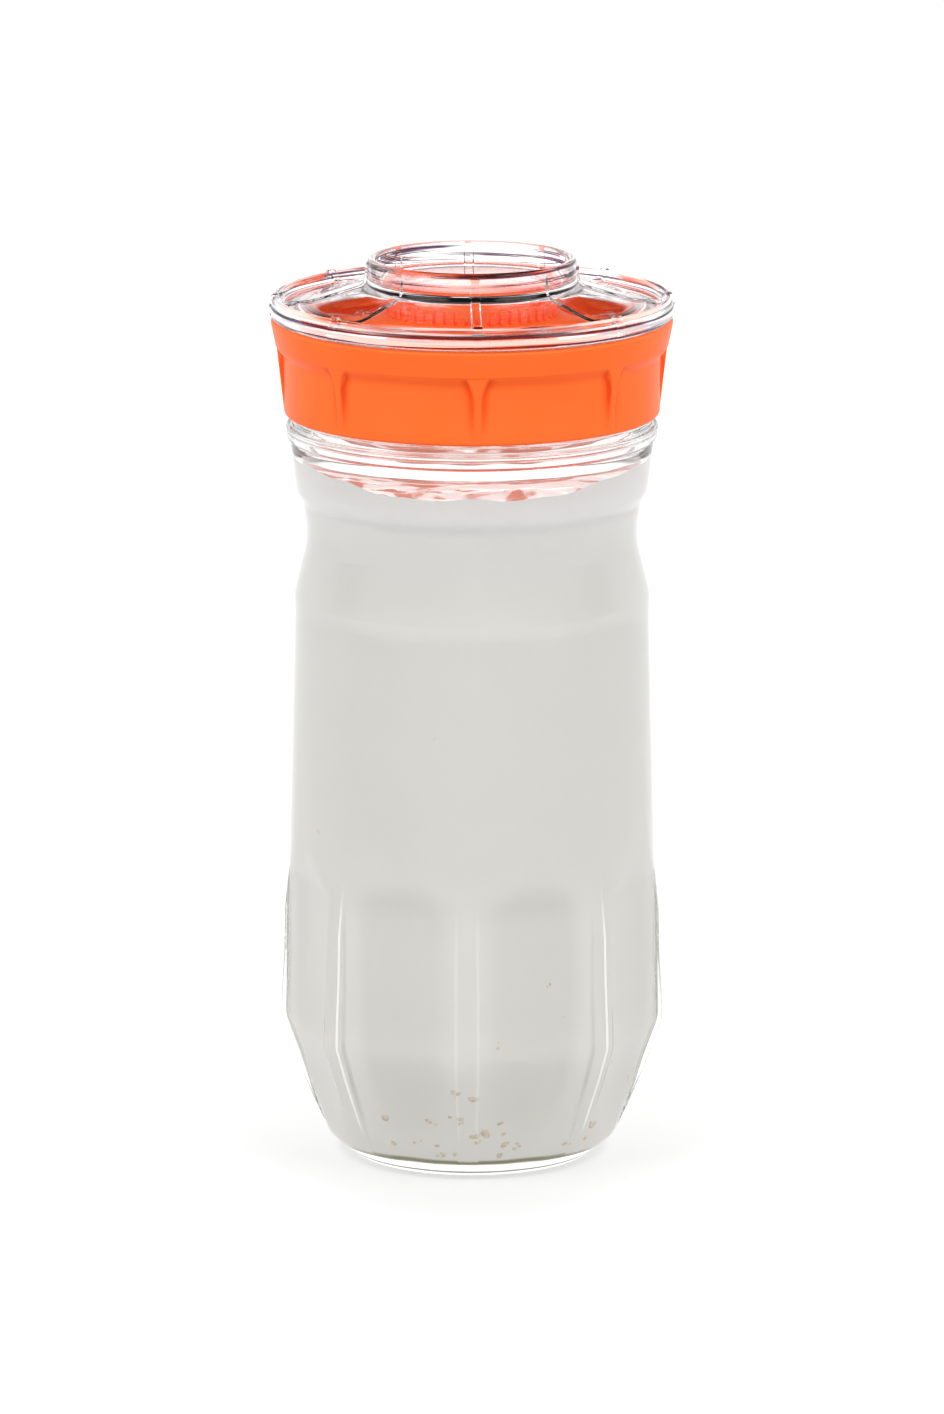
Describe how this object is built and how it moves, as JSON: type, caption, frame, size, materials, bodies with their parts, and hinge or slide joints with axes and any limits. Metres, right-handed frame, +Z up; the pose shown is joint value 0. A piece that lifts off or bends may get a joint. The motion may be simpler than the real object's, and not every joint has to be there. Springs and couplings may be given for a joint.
{
  "type": "kefir fermentation jar",
  "caption": "Tall glass fermentation jar of kefir with a threaded strainer lid that carries a citrus press, and a clear screw cap with a cup in its top.",
  "frame": {"origin": "middle of the jar's foot, on the surface that it stands on", "axes": "+Z up along the jar's axis, -Y towards the front of the picture, +X to its right"},
  "size_m": [0.1124, 0.1124, 0.254],
  "materials": {
    "glass": "clear, polished",
    "kefir": "milky liquid",
    "orange_plastic": "satin",
    "clear_plastic": "clear, glossy",
    "silicone": "milky"
  },
  "bodies": {
    "jar": {"glass_jar": "glass", "kefir_fill": "kefir"},
    "gasket": {"lid_gasket": "silicone"},
    "lid": {"strainer_lid": "orange_plastic"},
    "seal": {"cap_seal": "silicone"},
    "cap": {"clear_cap": "clear_plastic"}
  },
  "joints": [
    {"name": "lid_rise", "type": "slide", "parent": "jar", "child": "gasket", "axis": [0, 0, 1], "range_m": [0, 0.0201]},
    {"name": "lid_turn", "type": "hinge", "parent": "gasket", "child": "lid", "pos_m": [0, 0, 0.2265], "axis": [0, 0, 1], "range_deg": [0, 300]},
    {"name": "cap_rise", "type": "slide", "parent": "lid", "child": "seal", "axis": [0, 0, 1], "range_m": [0, 0.0161]},
    {"name": "cap_turn", "type": "hinge", "parent": "seal", "child": "cap", "pos_m": [0, 0, 0.2359], "axis": [0, 0, 1], "range_deg": [0, 360]}
  ],
  "couplings": [
    {"joint": "lid_rise", "follows": "lid_turn", "m_per_rad": 0.0038197},
    {"joint": "cap_rise", "follows": "cap_turn", "m_per_rad": 0.0025465}
  ]
}
